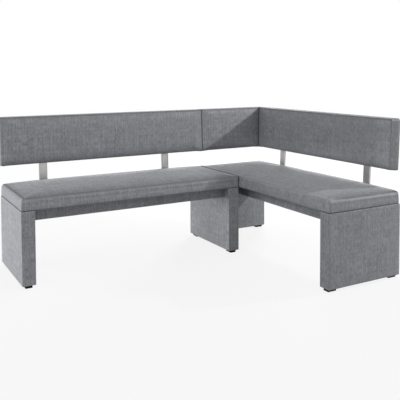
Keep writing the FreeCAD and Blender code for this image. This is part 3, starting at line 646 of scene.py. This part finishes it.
def shape_seat(points, size, seats, tight, joint, loose_corner, seed):
    """Rounds, crowns, seams and puffs the box of a seat, in its unit's frame, and works out its painted
    shade.

    Tight holds how firmly the seam is drawn down on the left, the right, the front and the rear side.
    Joint holds the number of the side that meets the other seat, how far along they meet, and the
    corners' radii. Round the loose corner, if there is one, the seam is hardly drawn down.
    """
    length_of, depth, thickness = size
    x, y, z = points.T
    near = from_sides(points, size)
    side, meeting, radii = joint
    travel = y if side < 2 else x
    joint_fade = 0.02
    joined = by_side(points, size, [float(side == other) for other in range(4)])
    joined = joined * np.clip((meeting - travel) / joint_fade + 0.5, 0, 1)

    # The sides, with their rolled edges, their bulge and their waves
    roll = seats.roll + (seats.joint_roll - seats.roll) * joined
    inset, drop = rounded(near, thickness - z, roll)
    low_inset, rise = rounded(near, z, seats.base_roll)
    low = z < thickness / 2
    inset = np.where(low, low_inset, inset)
    fullness = 0.7
    swell = np.sin(np.pi * np.clip(z / thickness, 0, 1)) ** fullness
    along = np.where(np.minimum(x, length_of - x) < np.minimum(y, depth - y), y / depth, x / length_of)
    drawn = seats.pull * 4 * along * (1 - along)
    bulge = drawn + seats.puff * (1 - swell) - waves(points, SEAT_SIDE_WAVES, seed) * swell
    inset = inset + np.where(near < roll, bulge, 0)
    new_x, new_y = ring_plan(points, size, radii, inset)

    # The seam, which the top rises from to its crown
    inner = near - seats.seam_inset
    drawn_down = by_side(points, size, tight) * (1 - joined)
    if loose_corner:
        reach = np.hypot(x - loose_corner[0], y - loose_corner[1])
        let_out = 0.8
        drawn_down = drawn_down * (1 - let_out * np.exp(-(reach / seats.ease) ** 2))
    gather_share, gather_pitch = 0.3, 0.05
    gather = drawn_down * (1 + gather_share * ripple(points, gather_pitch, seed + 2))
    outer_dip = seats.seam_depth * np.exp(-(np.minimum(inner, 0) / seats.seam_reach) ** 2)
    crest_drop = seats.crest_drop * np.minimum(drawn_down, 1)
    full_rise = seats.seam_depth * gather + crest_drop
    rise_inside = full_rise * (1 - np.exp(-np.maximum(inner, 0) / seats.rise_reach))
    rim = seats.seam_inset
    across = np.clip((y - rim) / (depth - 2 * rim), 0, 1) * 2 - 1
    lengthwise = np.clip((x - rim) / (length_of - 2 * rim), 0, 1) * 2 - 1
    fall = np.where(across > 0, 1 - seats.rear_swell, 1)
    end_steepness = 6
    dome = seats.crown * (1 - fall * across ** 2) * (1 - lengthwise ** end_steepness)
    wave_start = 0.05
    soft = waves(points, SEAT_TOP_WAVES, seed + 3) * np.clip(inner / wave_start, 0, 1)
    height = thickness - crest_drop - drop - outer_dip * gather + rise_inside + dome + soft
    new_z = np.where(low, np.maximum(rise, z), height)
    under = (z < SNAP) & (near > seats.fold)
    new_z = np.where(under, seats.recess, new_z)

    # Its shade, which comes and goes along the seam
    gust_share, gust_pitch = 0.4, 0.09
    gust = 1 + gust_share * ripple(points, gust_pitch, seed + 5)
    return np.column_stack((new_x, new_y, new_z)), shade_seat(seats, near, z, drawn_down, joined, gust)


# A seat's cuts across its height: from its base up, and from its top down
BASE_CUTS = (0.001, 0.002, 0.003, 0.004, 0.007, 0.012)
TOP_CUTS = (0.003, 0.006, 0.009, 0.012, 0.014, 0.016, 0.020, 0.026)


def upholster_seat(name, node, place, tight, joint, loose_corner, seed):
    """One seat cushion, cut from a box in its unit's frame, shaped and put in its place."""
    seats = bpy.context.scene.bench_seats
    low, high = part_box(node)
    long_side, short_side = max(high.x - low.x, high.y - low.y), min(high.x - low.x, high.y - low.y)
    size = (long_side, short_side, seats.thickness)
    piece = start_box(name, (0, 0, 0), size)
    fold_width = 0.002
    marks = (*EDGE_CUTS, seats.fold - fold_width / 2, seats.fold + fold_width / 2)
    upper = [seats.thickness - cut for cut in TOP_CUTS]
    slice_box(piece, (cuts_between(long_side, marks, FACE_PITCH),
                      cuts_between(short_side, marks, FACE_PITCH),
                      (*BASE_CUTS, *even(BASE_CUTS[-1], upper[-1], SIDE_PITCH), *reversed(upper))))
    unroll(piece, UPRIGHT_PLANS)
    box_points = points_of(piece)
    points, shade = shape_seat(box_points, size, seats, tight, joint, loose_corner, seed)
    set_points(piece, points)
    inner = from_sides(box_points, size) - seats.seam_inset
    seam_hold, hold_reach, loosening, base_height = 0.75, 0.02, 1.4, 0.004
    sewn = 1 - seam_hold * np.exp(-(inner / hold_reach) ** 2)
    loose = np.clip(box_points[:, 2] / seats.thickness * loosening, 0, 1) * sewn
    moved = inflate(piece, lambda point: point[:, 2] < seats.recess + base_height)
    set_points(piece, points + moved * loose[:, None])
    paint_shading(piece, shade)
    piece.data.transform(place)
    smooth(piece, degrees=60)
    finish_piece(piece, bpy.data.materials["bench fabric"], "upholstery_fabric", node,
                 node.replace("cover", "foam"))


def shape_back(points, size, backs, ends, radii, seed):
    """Rounds and crowns the box of a back, and works out its painted shade: x along it, y up its slope, z
    from front to rear.

    Ends holds the rolls of its two ends. An end with a smaller roll than the sides meets another back.
    """
    length_of, height, thickness = size
    x, y, z = points.T
    from_end = np.minimum(x, length_of - x)
    from_side = np.minimum(y, height - y)
    near = from_sides(points, size)
    at_left = (x < length_of / 2) & (from_end <= from_side)
    at_right = (x >= length_of / 2) & (from_end <= from_side)

    # The sides, with their rolled edges, their bulge and their waves
    roll = np.where(at_left, ends[0], np.where(at_right, ends[1], backs.roll))
    front, front_drop = rounded(near, z, roll)
    rear, rear_drop = rounded(near, thickness - z, np.minimum(roll, backs.rear_roll))
    before = z < thickness / 2
    inset = np.where(before, front, rear)
    fullness, puff = 0.6, 0.0008
    swell = np.sin(np.pi * np.clip(z / thickness, 0, 1)) ** fullness
    bulge = puff * (1 - swell) - waves(points, BACK_SIDE_WAVES, seed) * swell
    free = ~((at_left & (ends[0] < backs.roll)) | (at_right & (ends[1] < backs.roll)))
    inset = inset + np.where((near < SNAP) & free, bulge, 0)
    new_x, new_y = ring_plan(points, size, radii, inset)

    # The front face, with its crown and its waves
    crown_reach = 0.10
    dome = backs.crown * (1 - (1 - np.clip(near / crown_reach, 0, 1)) ** 2)
    wave_start, wave_reach = 0.008, 0.04
    fade = np.clip((near - wave_start) / wave_reach, 0, 1)
    soft = waves(points, BACK_FRONT_WAVES, seed + 2) * fade
    depth = np.where(before, front_drop + backs.crown - dome - soft, thickness - rear_drop)

    # The painted shade in the joints, over the upper and the free edges, and under the lower edge
    joint_reach, end_shade_strength, under_shade_strength = 0.004, 0.3, 0.95
    joined = np.where(x < length_of / 2, ends[0] < backs.roll, ends[1] < backs.roll)
    joint = np.where(joined, np.exp(-(from_end / joint_reach) ** 2),
                     end_shade_strength * np.exp(-(from_end / backs.shade_reach) ** 2))
    over = np.exp(-((height - y) / backs.shade_reach) ** 2)
    below = under_shade_strength * np.exp(-(y / backs.under_reach) ** 1.5)
    gust_share, gust_pitch = 0.15, 0.05
    gust = 1 + gust_share * ripple(points, gust_pitch, seed + 4)
    return np.column_stack((new_x, new_y, depth)), np.maximum(joint, np.maximum(over, below)) * gust


# A back's cuts: a seat's without the last three, and these across its depth
BACK_CUTS = EDGE_CUTS[:-3]
DEPTH_CUTS = (0.002, 0.004, 0.006, 0.008, 0.010, 0.013, 0.018)


def upholster_back(name, node, place, start, end, mitre, ends, radii, seed):
    """One backrest. Mitre is 0, or the side (-1 or 1) whose end follows the corner's diagonal."""
    seats = bpy.context.scene.bench_seats
    backs = bpy.context.scene.bench_backs
    height, thickness = backs.height, backs.thickness
    size = (end - start, height, thickness)
    piece = start_box(name, (0, 0, 0), size)
    slice_box(piece, (cuts_between(size[0], BACK_CUTS, FACE_PITCH),
                      cuts_between(height, BACK_CUTS, FACE_PITCH),
                      cuts_between(thickness, DEPTH_CUTS, SIDE_PITCH)))
    unroll(piece, BACK_PLANS)
    points, shade = shape_back(points_of(piece), size, backs, ends, radii, seed)
    set_points(piece, points)
    joint_hold, front_share, loosening, rear_depth = 0.05, 1.6, 2, 0.006
    free_of_joints = np.ones(len(points))
    for roll, from_end in zip(ends, (points[:, 0], size[0] - points[:, 0])):
        if roll < backs.roll:
            free_of_joints *= np.clip(from_end / joint_hold, 0, 1)
    loose = free_of_joints * np.clip(front_share - loosening * points[:, 2] / thickness, 0, 1)
    moved = inflate(piece, lambda point: point[:, 2] > thickness - rear_depth)
    paint_shading(piece, shade)
    cos, sin = math.cos(backs.lean), math.sin(backs.lean)
    along, up, depth = (points + moved * loose[:, None]).T
    low_y = DEPTH - backs.overhang
    low_z = seats.thickness + backs.gap
    y = low_y + depth * cos + up * sin
    z = low_z + up * cos - depth * sin
    x = start + along
    if mitre:
        edge = end if mitre > 0 else start
        mitre_reach = 0.15
        weight = np.clip(1 - np.abs(x - edge) / mitre_reach, 0, 1)
        x = x + mitre * (y - low_y) * weight
    set_points(piece, np.column_stack((x, y, z)))
    piece.data.flip_normals()
    piece.data.transform(place)
    smooth(piece, degrees=60)
    finish_piece(piece, bpy.data.materials["bench fabric"], "upholstery_fabric", node,
                 node.replace("cover", "front_foam"), node.replace("cover", "rear_foam"))


# Panels, steel and plastic

def select_parts(piece, parts, wanted):
    """Selects only those edges or faces of a piece, in edit mode, that pass the test."""
    bpy.ops.object.mode_set(mode="EDIT")
    bpy.ops.mesh.select_mode(type="FACE" if parts == "polygons" else "EDGE")
    bpy.ops.mesh.select_all(action="DESELECT")
    bpy.ops.object.mode_set(mode="OBJECT")
    for part in getattr(piece.data, parts):
        part.select = wanted(part)
    bpy.ops.object.mode_set(mode="EDIT")


def edge_points(piece, edge):
    return [piece.data.vertices[index].co for index in edge.vertices]


# Distance between a panel's even cuts, and the least side that is cut
PANEL_PITCH = 0.025
LEAST_CUT_SIDE = 0.05


def panel_cuts(low, high, panels):
    """Cuts across one axis of a panel: one near each edge, and even steps between them."""
    if high - low <= LEAST_CUT_SIDE:
        return []
    start, end = low + panels.margin, high - panels.margin
    return [start, *even(start, end, PANEL_PITCH), end]


def shade_panel(points, low, high, panels, hemmed, shade_from):
    """A panel's painted shading: painted shade along its upright seams and where a leg meets the seat, a
    painted highlight on a leg's top rim, and painted shade in the inner corner.
    """
    seam_shade, seam_reach, rim_highlight, corner_shade = 0.12, 0.0035, 0.3, 0.9
    x, y, z = points.T
    from_edge = np.minimum(x - low.x, high.x - x) + np.minimum(y - low.y, high.y - y)
    shade = seam_shade * np.exp(-(from_edge / seam_reach) ** 2)
    if hemmed:
        # Painted shade where the leg meets the seat, and a painted highlight just below it on the top rim
        below_top = high.z - z
        highlight_centre, meeting_line = 0.7, panels.rim / 6
        painted_highlight = shade - rim_highlight * np.exp(-(below_top / panels.rim - highlight_centre) ** 2)
        shade = np.where(below_top < meeting_line, 1.0, painted_highlight)
    # Painted shade in the inner corner between the two units
    if shade_from is not None:
        shade = np.maximum(shade, corner_shade * np.exp(-((y - shade_from) / panels.inner_shade) ** 2))
    return shade


def cover_panel(name, node, panels, hemmed, shade_from=None):
    """The cloth on a leg or an apron: a box with rounded edges, turned in under a leg as a hem."""
    low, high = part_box(node)
    high.z += panels.lap
    piece = start_box(name, low, high)
    if hemmed:
        select_parts(piece, "polygons", lambda face: face.normal.z < -0.5)
        bpy.ops.mesh.inset(thickness=panels.hem + panels.corner_radius, depth=0)
        bpy.ops.transform.translate(value=(0, 0, panels.cloth))
        bpy.ops.object.mode_set(mode="OBJECT")

    def upright(edge):
        first, second = edge_points(piece, edge)
        return abs(first.z - second.z) > max(panels.corner_radius, (high.z - low.z) / 2)

    select_parts(piece, "edges", upright)
    bpy.ops.mesh.bevel(offset=panels.corner_radius if hemmed else panels.rim, segments=5, affect="EDGES")
    bpy.ops.object.mode_set(mode="OBJECT")

    def rim(edge):
        first, second = edge_points(piece, edge)
        flat = abs(first.z - second.z) < SNAP
        at_rim = min(abs(first.z - low.z), abs(first.z - high.z)) < SNAP
        inner = (min(first.x - low.x, high.x - first.x) > panels.hem / 2
                 and min(first.y - low.y, high.y - first.y) > panels.hem / 2)
        return flat and at_rim and not inner

    select_parts(piece, "edges", rim)
    bpy.ops.mesh.bevel(offset=panels.rim, segments=3, affect="EDGES")
    bpy.ops.object.mode_set(mode="OBJECT")
    slice_box(piece, [panel_cuts(low[axis], high[axis], panels) for axis in range(3)])
    unroll(piece, UPRIGHT_PLANS)
    paint_shading(piece, shade_panel(points_of(piece), low, high, panels, hemmed, shade_from))
    cloth_waves = bpy.data.textures.get("cloth waves") or bpy.data.textures.new("cloth waves", "CLOUDS")
    cloth_waves.noise_scale = panels.wave
    apply_modifier(piece, "DISPLACE", texture=cloth_waves, texture_coords="LOCAL", strength=panels.slack,
                   mid_level=0.5)
    smooth(piece, degrees=35)
    finish_piece(piece, bpy.data.materials["bench fabric"], "upholstery_fabric", node)


def carry_over(name, node, bevel):
    """A copy of a hard node with its triangles joined, its flat faces whole and its edges broken."""
    piece = bpy.data.objects.new(name, frame["nodes"][node].data.copy())
    bpy.context.scene.collection.objects.link(piece)
    pick(piece)
    bpy.ops.object.mode_set(mode="EDIT")
    bpy.ops.mesh.select_all(action="SELECT")
    bpy.ops.mesh.remove_doubles(threshold=0.000002)
    bpy.ops.mesh.dissolve_limited(angle_limit=math.radians(0.5))
    bpy.ops.object.mode_set(mode="OBJECT")
    apply_modifier(piece, "BEVEL", width=bevel, segments=2, limit_method="ANGLE",
                   angle_limit=math.radians(35))
    smooth(piece, degrees=30)
    return piece


# The nodes of each group of hard pieces, with their material, their slot and the width of broken edges
HARD_PIECES = {
    "uprights": (("long_left_upright", "long_right_upright", "short_left_upright",
                  "short_right_upright"), "brushed steel", "upright_steel", 0.0009),
    "feet": (("long_feet", "short_feet"), "foot plastic", "foot_plastic", 0.0008),
    "brackets": (("long_angle_brackets", "short_angle_brackets", "joining_brackets", "corner_plate"),
                 "zinc steel", "bracket_steel", 0.0005),
    "spacers": (("upright_spacers",), "zinc steel", "spacer_steel", 0.0004),
    "fasteners": (("long_bracket_screws", "short_bracket_screws", "joining_screws", "foot_screws",
                   "long_upright_bolts", "short_upright_bolts", "long_back_screws", "short_back_screws",
                   "corner_plate_screws"), "zinc steel", "fastener_steel", 0.0003),
}


def make_hard_pieces(group):
    nodes, material, slot, bevel = HARD_PIECES[group]
    for node in nodes:
        piece = carry_over(node + "_made", node, bevel)
        finish_piece(piece, bpy.data.materials[material], slot, node)


class BenchOperator:
    """What every step of the bench shares."""
    bl_options = {"REGISTER", "UNDO"}


class BENCH_OT_materials(BenchOperator, bpy.types.Operator):
    """Makes the materials and gives the timber its own"""
    bl_idname = "bench.materials"
    bl_label = "Materials"

    def execute(self, context):
        make_materials(context.scene.bench_finish)
        for row in frame["record"]["subparts"]:
            if row["material_slot"] == "timber_panel":
                materials = frame["nodes"][row["node"]].data.materials
                materials.clear()
                materials.append(bpy.data.materials["timber panel"])
        return {"FINISHED"}


class BENCH_OT_seats(BenchOperator, bpy.types.Operator):
    """Upholsters the two seats"""
    bl_idname = "bench.seats"
    bl_label = "Seats"

    def execute(self, context):
        seats = context.scene.bench_seats
        free, met = seats.corner_radius, seats.joint_roll
        upholster_seat("long_seat_cushion", "long_seat_cover", LONG_FRAME, tight=(0.8, 0.0, 1.0, 0.05),
                       joint=(1, DEPTH, (free, met, free, met)), loose_corner=None, seed=1)
        near_corner = (SHORT_HIGH.y - SHORT_LOW.y, 0)
        upholster_seat("short_seat_cushion", "short_seat_cover", SHORT_FRAME, tight=(0.3, 1.0, 0.2, 0.05),
                       joint=(2, DEPTH, (met, free, free, free)), loose_corner=near_corner, seed=11)
        return {"FINISHED"}


class BENCH_OT_backs(BenchOperator, bpy.types.Operator):
    """Upholsters the three backrests"""
    bl_idname = "bench.backs"
    bl_label = "Backrests"

    def execute(self, context):
        backs = context.scene.bench_backs
        long_end = LONG_HIGH.x - LONG_LOW.x + backs.seam_offset
        front = DEPTH - backs.overhang
        inner = SHORT_LOW.x - LONG_LOW.x + front
        free, tight, joint = backs.corner_radius, backs.tight_radius, backs.joint_roll
        upholster_back("long_back_cushion", "long_back_cover", LONG_FRAME, start=0,
                       end=long_end - backs.seam_gap / 2, mitre=0, ends=(backs.roll, joint),
                       radii=(free, joint, tight, joint), seed=21)
        upholster_back("corner_back_cushion", "corner_back_cover", LONG_FRAME,
                       start=long_end + backs.seam_gap / 2, end=inner, mitre=1, ends=(joint, joint),
                       radii=[joint] * 4, seed=31)
        upholster_back("short_back_cushion", "short_back_cover", SHORT_FRAME,
                       start=SHORT_HIGH.y - (LONG_LOW.y + front),
                       end=SHORT_HIGH.y - SHORT_LOW.y - backs.setback, mitre=-1, ends=(joint, backs.roll),
                       radii=(joint, tight, joint, free), seed=41)
        return {"FINISHED"}


class BENCH_OT_panels(BenchOperator, bpy.types.Operator):
    """Covers the panel legs and the aprons"""
    bl_idname = "bench.panels"
    bl_label = "Legs and aprons"

    def execute(self, context):
        panels = context.scene.bench_panels
        for unit in ("long", "short"):
            for side in ("left", "right"):
                name = f"{unit}_{side}_leg"
                cover_panel(name + "_cloth", name + "_cover", panels, hemmed=True)
            for side in ("front", "rear"):
                name = f"{unit}_{side}_apron"
                inner_corner = LONG_LOW.y if name == "short_front_apron" else None
                cover_panel(name + "_cloth", name + "_cover", panels, hemmed=False,
                            shade_from=inner_corner)
        return {"FINISHED"}


class BENCH_OT_steel(BenchOperator, bpy.types.Operator):
    """Finishes the uprights, brackets, spacers and fasteners"""
    bl_idname = "bench.steel"
    bl_label = "Steel"

    def execute(self, context):
        for group in ("uprights", "brackets", "spacers", "fasteners"):
            make_hard_pieces(group)
        return {"FINISHED"}


class BENCH_OT_feet(BenchOperator, bpy.types.Operator):
    """Finishes the plastic feet"""
    bl_idname = "bench.feet"
    bl_label = "Feet"

    def execute(self, context):
        make_hard_pieces("feet")
        return {"FINISHED"}


class BENCH_OT_dust_cloths(BenchOperator, bpy.types.Operator):
    """Stretches the dust cloths under the seats"""
    bl_idname = "bench.dust_cloths"
    bl_label = "Dust cloths"

    def execute(self, context):
        steps = 60
        for unit in ("long", "short"):
            node = unit + "_dust_cloth"
            low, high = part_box(node)
            bpy.ops.object.select_all(action="DESELECT")
            bpy.ops.mesh.primitive_grid_add(x_subdivisions=steps, y_subdivisions=steps, size=1,
                                            location=((low.x + high.x) / 2, (low.y + high.y) / 2, low.z))
            bpy.ops.transform.resize(value=(high.x - low.x, high.y - low.y, 1))
            piece = bpy.context.object
            piece.name = unit + "_dust_sheet"
            bpy.ops.object.transform_apply(location=True, rotation=True, scale=True)
            finish_piece(piece, bpy.data.materials["dust cloth"], "dust_cloth", node)
        return {"FINISHED"}


class BENCH_OT_stage(BenchOperator, bpy.types.Operator):
    """Lays the floor and sets the lights and the camera"""
    bl_idname = "bench.stage"
    bl_label = "Stage"

    def execute(self, context):
        stage = context.scene.bench_stage
        lay_floor(stage)
        light_world(context.scene, stage)
        add_lamps(stage)
        aim_camera(context.scene, stage)
        context.scene.view_settings.view_transform = "Standard"
        return {"FINISHED"}


WHITE = (1, 1, 1, 1)


def lay_floor(stage):
    """A matt floor that keeps the bench's shadow, and turns white with distance to the camera and gloss."""
    bpy.ops.object.select_all(action="DESELECT")
    bpy.ops.mesh.primitive_plane_add(size=stage.floor_width)
    floor = bpy.context.object
    floor.name = "floor"
    material = bpy.data.materials.new("pale floor")
    material.use_nodes = True
    tree = material.node_tree
    tree.nodes.clear()
    graph = Graph(tree)
    matt = graph.node("ShaderNodeBsdfDiffuse", {"Color": solid(stage.floor)}).outputs[0]
    white = graph.node("ShaderNodeEmission", {"Color": WHITE, "Strength": 1.0}).outputs[0]
    path = graph.node("ShaderNodeLightPath").outputs
    clear = graph.maths("MAXIMUM", path["Is Camera Ray"], path["Is Glossy Ray"])
    where = graph.node("ShaderNodeTexCoord").outputs["Object"]
    distance = graph.node("ShaderNodeVectorMath", {0: where}, operation="LENGTH").outputs["Value"]
    white_share = graph.spread(distance, stage.floor_near, stage.floor_far, stage.floor_white, 1)
    seen = graph.maths("MULTIPLY", clear, white_share)
    mix = graph.node("ShaderNodeMixShader", {0: seen, 1: matt, 2: white}).outputs[0]
    graph.node("ShaderNodeOutputMaterial", {"Surface": mix})
    floor.data.materials.append(material)


def light_world(scene, stage):
    """A white backdrop to the camera and to gloss, and plain soft light to the rest."""
    world = bpy.data.worlds.new("studio")
    world.use_nodes = True
    scene.world = world
    tree = world.node_tree
    tree.nodes.clear()
    graph = Graph(tree)
    path = graph.node("ShaderNodeLightPath").outputs
    clear = graph.maths("MAXIMUM", path["Is Camera Ray"],
                        graph.maths("MAXIMUM", path["Is Glossy Ray"], path["Is Transmission Ray"]))
    strength = graph.spread(clear, 0, 1, stage.ambient, 1)
    back = graph.node("ShaderNodeBackground", {"Color": WHITE, "Strength": strength}).outputs[0]
    graph.node("ShaderNodeOutputWorld", {"Surface": back})


# Each lamp's place, aim and width, and whether reflections show it; its power is the stage's
LAMPS = {
    "key": ((3.71, -1.43, 2.54), (0.6, 0.64, 0.75), 0.18, True),
    "fill": ((-4.5, -0.3, 2.4), (0.9, -0.2, 0.6), 2.0, True),
    "side": ((-6.5, 4.6, 0.5), (-0.4, 0.4, 0.4), 1.1, False),
    "back": ((3.4, 3.6, 1.6), (0.3, 0.4, 0.5), 2.0, False),
}


def add_lamps(stage):
    for name, (place, aim, width, mirrored) in LAMPS.items():
        lamp = bpy.data.lights.new(name, "AREA")
        lamp.energy = getattr(stage, name)
        lamp.shape = "DISK"
        lamp.size = width
        holder = bpy.data.objects.new(name, lamp)
        bpy.context.scene.collection.objects.link(holder)
        holder.location = place
        holder.rotation_euler = (Vector(aim) - Vector(place)).to_track_quat("-Z", "Y").to_euler()
        holder.visible_glossy = mirrored


def aim_camera(scene, stage):
    camera = bpy.data.cameras.new("camera")
    camera.lens = stage.lens
    camera.shift_y = stage.shift
    holder = bpy.data.objects.new("camera", camera)
    scene.collection.objects.link(holder)
    level = Euler((math.pi / 2 - stage.tilt, 0, -stage.heading)).to_matrix()
    holder.matrix_world = (Matrix.Translation(stage.eye)
                           @ (level @ Matrix.Rotation(stage.roll, 3, "Z")).to_4x4())
    scene.camera = holder


class BENCH_PT_sidebar(bpy.types.Panel):
    """Lists the bench's steps"""
    bl_idname = "BENCH_PT_sidebar"
    bl_label = "Corner bench"
    bl_space_type = "VIEW_3D"
    bl_region_type = "UI"
    bl_category = "Bench"

    def draw(self, context):
        for step in STEPS:
            self.layout.operator(step.bl_idname)


GROUPS = {
    "bench_filling": BenchFilling,
    "bench_seats": BenchSeats,
    "bench_backs": BenchBacks,
    "bench_panels": BenchPanels,
    "bench_finish": BenchFinish,
    "bench_stage": BenchStage,
}
STEPS = (BENCH_OT_materials, BENCH_OT_seats, BENCH_OT_backs, BENCH_OT_panels, BENCH_OT_steel,
         BENCH_OT_feet, BENCH_OT_dust_cloths, BENCH_OT_stage)


def register():
    for item in (*GROUPS.values(), *STEPS, BENCH_PT_sidebar):
        bpy.utils.register_class(item)
    for name, group in GROUPS.items():
        setattr(bpy.types.Scene, name, PointerProperty(type=group))


def unregister():
    for name in GROUPS:
        delattr(bpy.types.Scene, name)
    for item in (BENCH_PT_sidebar, *reversed(STEPS), *reversed(tuple(GROUPS.values()))):
        bpy.utils.unregister_class(item)


def main():
    register()
    bpy.ops.bench.materials()
    bpy.ops.bench.seats()
    bpy.ops.bench.backs()
    bpy.ops.bench.panels()
    bpy.ops.bench.steel()
    bpy.ops.bench.feet()
    bpy.ops.bench.dust_cloths()
    bpy.ops.bench.stage()


if __name__ == "__main__":
    main()
